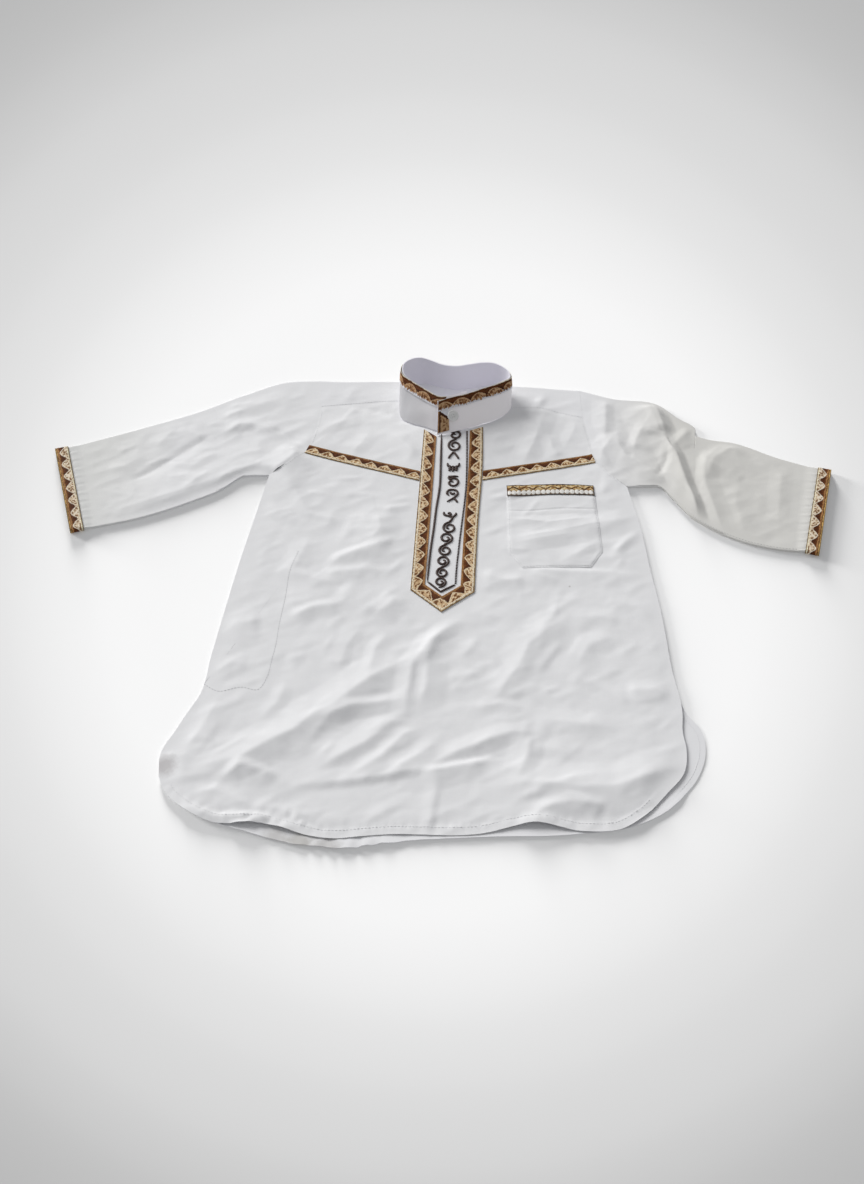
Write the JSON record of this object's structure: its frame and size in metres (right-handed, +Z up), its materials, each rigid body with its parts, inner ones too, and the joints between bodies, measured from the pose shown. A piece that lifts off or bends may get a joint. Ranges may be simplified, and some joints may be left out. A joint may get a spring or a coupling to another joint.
{
  "type": "thobe robe",
  "caption": "Small child's white thobe shirt laid flat, with a standing collar, long sleeves, a pointed placket, a chest pocket and brown and gold woven trims.",
  "frame": {"origin": "middle of the underside of the whole shirt's box, on the surface that it lies on", "axes": "+X to the wearer's left, from cuff to cuff; +Y from the hem to the collar; +Z up from the surface"},
  "size_m": [0.76, 0.569, 0.0343],
  "materials": {
    "cloth": "plain-woven white shirting, faint sheen, laundry creases",
    "collar_cloth": "stiffened white shirting, smooth",
    "trim": "embroidered brown and gold triangle trim",
    "button": "white moulded shirt button, soft gloss"
  },
  "bodies": {
    "root": {"back": "cloth", "front": "cloth", "sleeve_right": "cloth", "sleeve_left": "cloth", "placket": "cloth", "pocket": "cloth", "collar": "collar_cloth", "cuff_trim_right": "trim", "cuff_trim_left": "trim", "chest_trim_right": "trim", "chest_trim_left": "trim", "placket_trim": "trim", "pocket_trim": "trim", "collar_trim": "trim", "collar_button": "button"}
  },
  "joints": []
}
